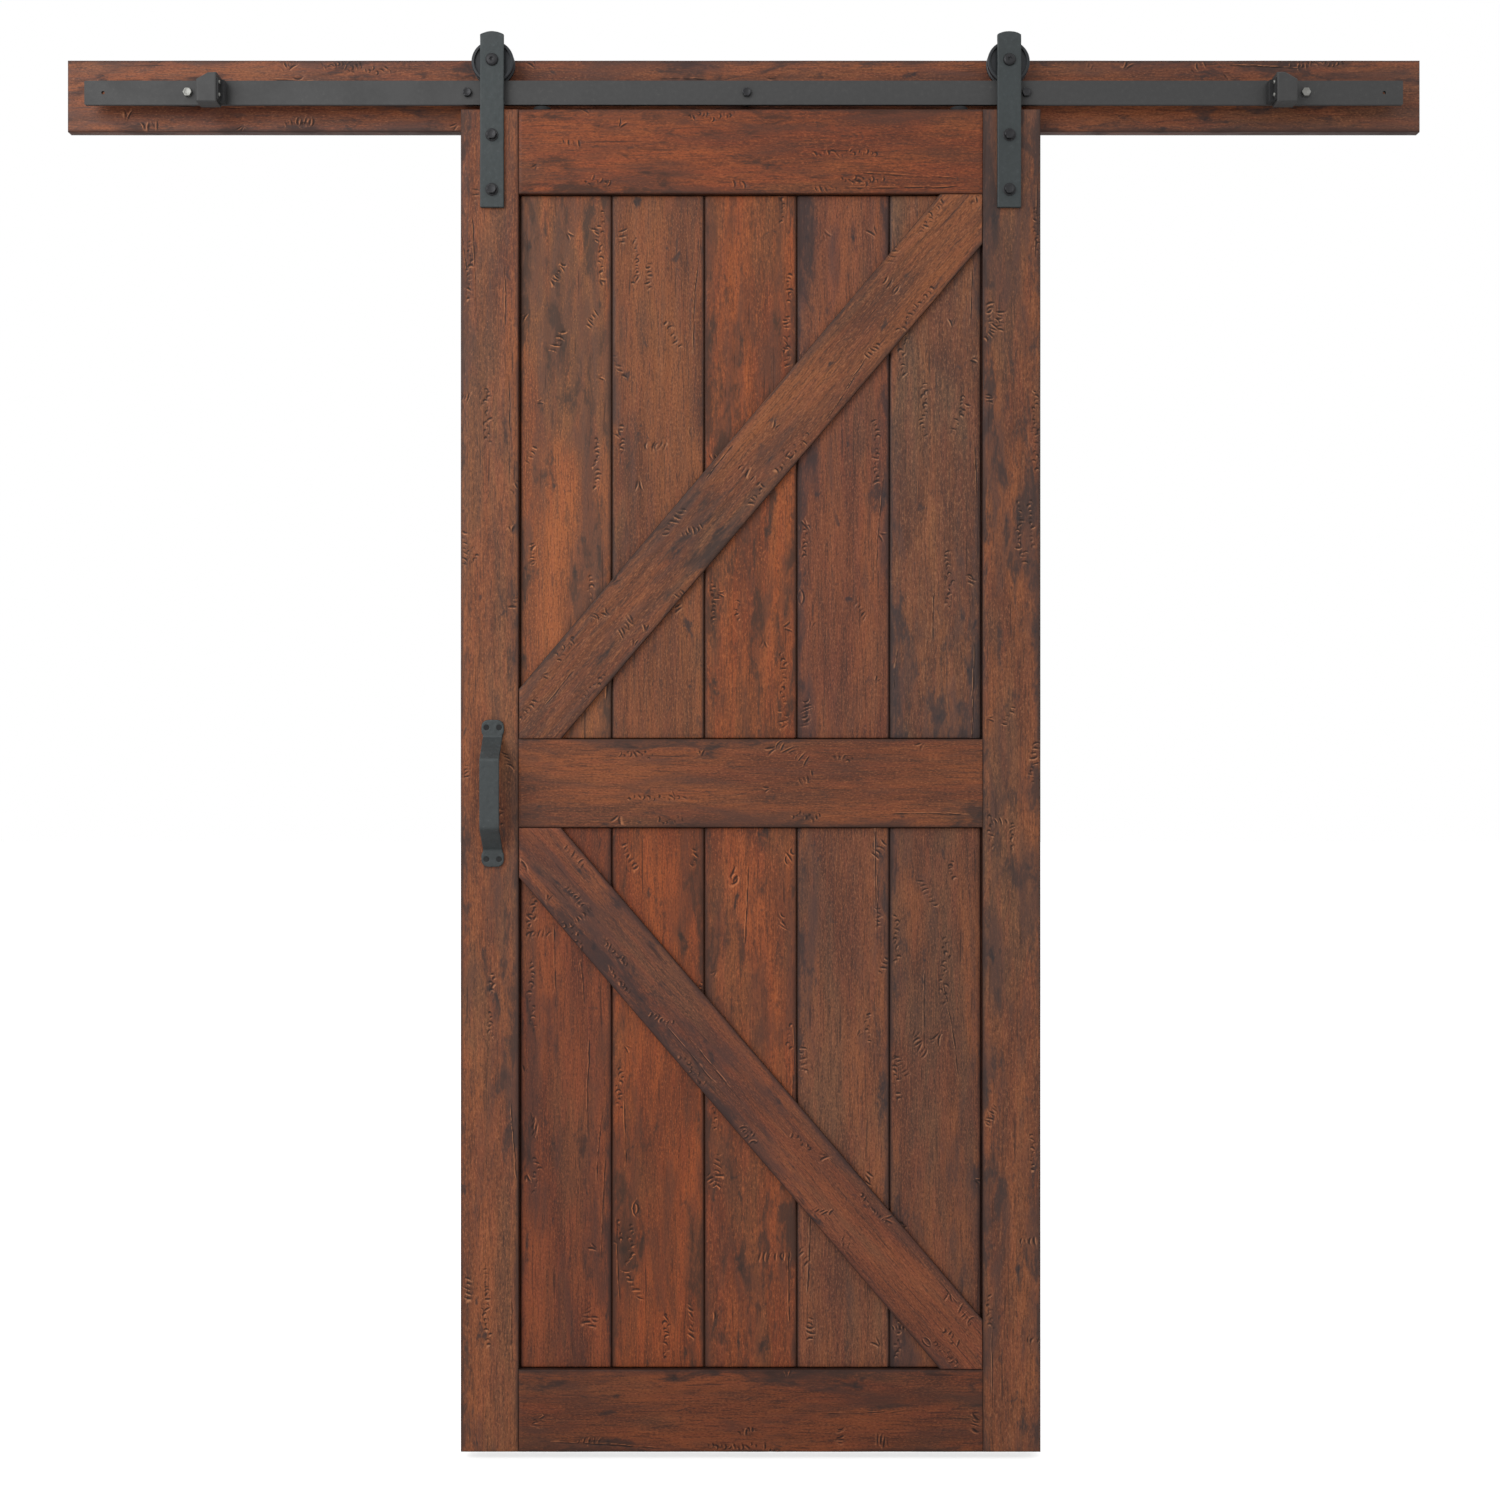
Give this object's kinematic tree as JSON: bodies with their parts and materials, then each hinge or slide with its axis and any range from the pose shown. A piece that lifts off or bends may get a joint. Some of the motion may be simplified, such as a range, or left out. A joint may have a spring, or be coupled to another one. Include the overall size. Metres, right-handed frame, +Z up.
{
  "type": "sliding barn door",
  "caption": "Plank door in a stile-and-rail frame with diagonal braces, hung by strap hangers and grooved wheels from a flat track on a header board.",
  "frame": {"origin": "the middle of the header board's back face, which lies on the wall", "axes": "+X along the track, +Y into the wall, +Z up"},
  "size_m": [2.163, 0.152, 2.239],
  "materials": {
    "stained_wood": "red-brown stain, distressed, satin",
    "track_steel": "dark grey powder coat, matt",
    "strap_steel": "dark blue-grey forged finish, matt",
    "wheel_steel": "black, semi-matt",
    "handle_iron": "dark grey forged finish, matt",
    "dark_fasteners": "blackened steel",
    "bright_steel": "zinc plated",
    "bearing_steel": "ground steel",
    "bearing_cage": "moulded nylon",
    "black_nylon": "moulded nylon",
    "rubber": "black rubber, matt"
  },
  "bodies": {
    "header_and_track": {"header_board": "stained_wood", "track": "track_steel", "track_spacer_1": "track_steel", "track_spacer_2": "track_steel", "track_spacer_3": "track_steel", "track_spacer_4": "track_steel", "track_spacer_5": "track_steel", "end_lag_bolts": "bright_steel", "middle_lag_bolts": "dark_fasteners", "left_stop_block": "track_steel", "right_stop_block": "track_steel", "left_stop_buffer": "rubber", "right_stop_buffer": "rubber", "buffer_screws": "bright_steel", "set_screws": "dark_fasteners"},
    "door": {"left_stile": "stained_wood", "right_stile": "stained_wood", "top_rail": "stained_wood", "middle_rail": "stained_wood", "bottom_rail": "stained_wood", "upper_plank_1": "stained_wood", "upper_plank_2": "stained_wood", "upper_plank_3": "stained_wood", "upper_plank_4": "stained_wood", "upper_plank_5": "stained_wood", "lower_plank_1": "stained_wood", "lower_plank_2": "stained_wood", "lower_plank_3": "stained_wood", "lower_plank_4": "stained_wood", "lower_plank_5": "stained_wood", "upper_brace": "stained_wood", "lower_brace": "stained_wood", "left_hanger_strap": "strap_steel", "left_bearing_inner_ring": "bearing_steel", "left_axle_bush": "dark_fasteners", "left_axle_bolt": "dark_fasteners", "left_axle_nut": "dark_fasteners", "left_jump_disc": "black_nylon", "right_hanger_strap": "strap_steel", "right_bearing_inner_ring": "bearing_steel", "right_axle_bush": "dark_fasteners", "right_axle_bolt": "dark_fasteners", "right_axle_nut": "dark_fasteners", "right_jump_disc": "black_nylon", "strap_bolts": "dark_fasteners", "strap_washers": "dark_fasteners", "strap_nuts": "dark_fasteners", "pull_handle": "handle_iron", "handle_screws": "dark_fasteners", "jump_disc_screws": "dark_fasteners"},
    "left_wheel": {"left_wheel": "wheel_steel", "left_bearing_outer_ring": "bearing_steel", "left_bearing_balls": "bearing_steel", "left_bearing_cage": "bearing_cage"},
    "right_wheel": {"right_wheel": "wheel_steel", "right_bearing_outer_ring": "bearing_steel", "right_bearing_balls": "bearing_steel", "right_bearing_cage": "bearing_cage"}
  },
  "joints": [
    {"name": "door_slide", "type": "slide", "parent": "header_and_track", "child": "door", "axis": [1, 0, 0], "range_m": [-0.4005, 0.3885]},
    {"name": "left_wheel_spin", "type": "hinge", "parent": "door", "child": "left_wheel", "pos_m": [-0.3962, -0.049, 0.0405], "axis": [0, 1, 0], "continuous": true},
    {"name": "right_wheel_spin", "type": "hinge", "parent": "door", "child": "right_wheel", "pos_m": [0.4182, -0.049, 0.0405], "axis": [0, 1, 0], "continuous": true}
  ],
  "couplings": [
    {"joint": "left_wheel_spin", "follows": "door_slide", "rad_per_m": 36.364},
    {"joint": "right_wheel_spin", "follows": "door_slide", "rad_per_m": 36.364}
  ]
}
